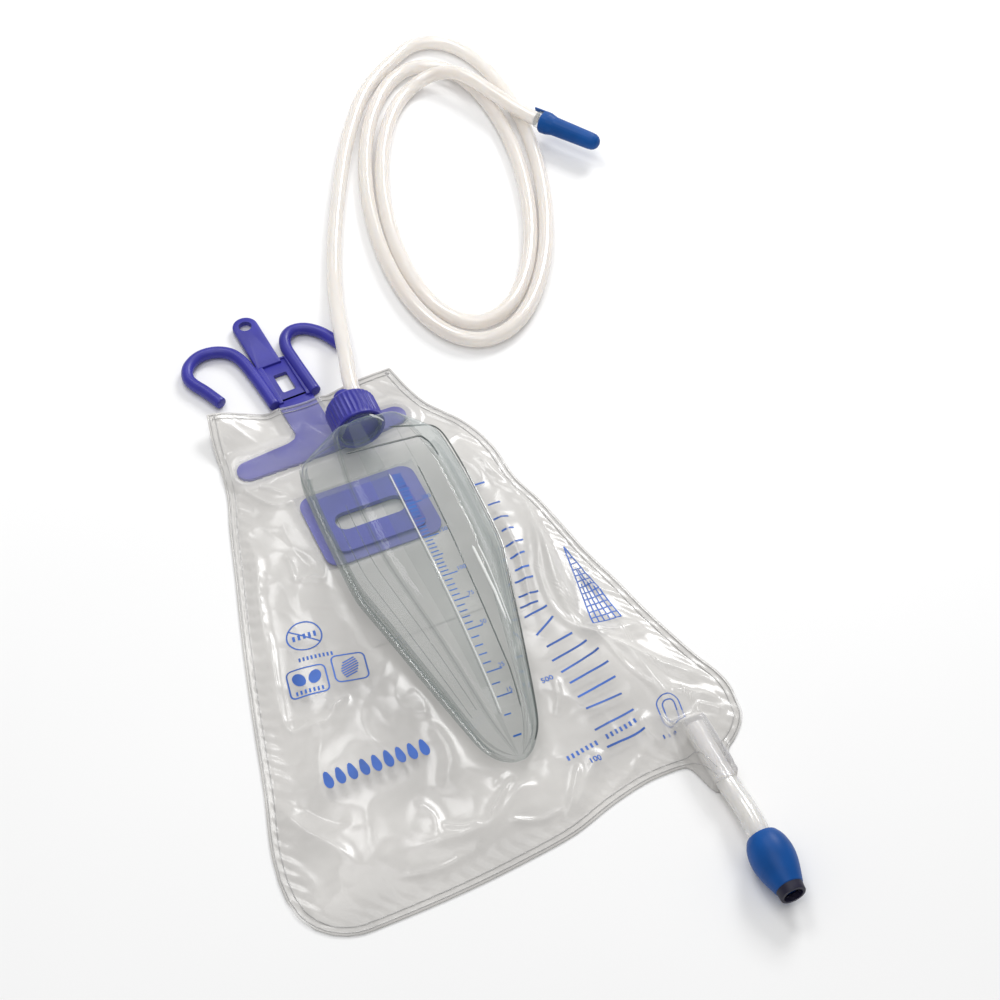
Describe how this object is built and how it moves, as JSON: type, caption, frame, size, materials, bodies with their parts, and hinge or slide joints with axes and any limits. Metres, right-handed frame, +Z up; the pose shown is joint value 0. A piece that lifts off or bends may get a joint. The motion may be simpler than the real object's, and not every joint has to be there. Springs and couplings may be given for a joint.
{
  "type": "urine drainage bag",
  "caption": "Flat clear film drainage bag with a rigid measuring chamber, hooked hanger, long inlet tube with capped connector and push-pull drain valve.",
  "frame": {"origin": "on the back film's flat underside, below the middle of the hanger's bar; the bag lies on its back", "axes": "+Z up out of the front film, +Y towards the hooks and the tube's coil, +X towards the drain side"},
  "size_m": [0.3311, 0.5989, 0.0408],
  "materials": {
    "clear_film": "soft clear vinyl film with a satin surface",
    "back_ply": "milky vinyl film",
    "violet_moulding": "satin violet-blue moulding",
    "port_blue": "satin blue moulding",
    "clear_rigid": "polished clear rigid plastic",
    "white_seal": "soft white",
    "white_moulding": "satin white moulding",
    "tube_clear": "soft clear vinyl tube",
    "valve_blue": "satin blue moulding",
    "seal_navy": "dark soft seal"
  },
  "bodies": {
    "bag": {"back_film": "back_ply", "front_film": "clear_film", "hanger": "violet_moulding", "port_flange": "port_blue", "reflux_valve": "clear_film", "measuring_chamber": "clear_rigid", "chamber_cap": "violet_moulding", "cap_seal": "white_seal", "vent_filter": "white_seal", "inlet_tube": "tube_clear", "tube_coil": "tube_clear", "tube_tail": "tube_clear", "patient_connector": "clear_rigid", "outlet_tube": "tube_clear", "valve_spigot": "white_moulding", "valve_seal_upper": "seal_navy", "valve_seal_lower": "seal_navy"},
    "connector_cover": {"connector_cap": "valve_blue"},
    "valve_bulb": {"valve_sleeve": "valve_blue"}
  },
  "joints": [
    {"name": "connector_cover_pull", "type": "slide", "parent": "bag", "child": "connector_cover", "axis": [0.555, -0.8319, 0], "range_m": [0, 0.03]},
    {"name": "drain_valve_pull", "type": "slide", "parent": "bag", "child": "valve_bulb", "axis": [-0.0471, -0.9989, 0], "range_m": [0, 0.006]}
  ]
}
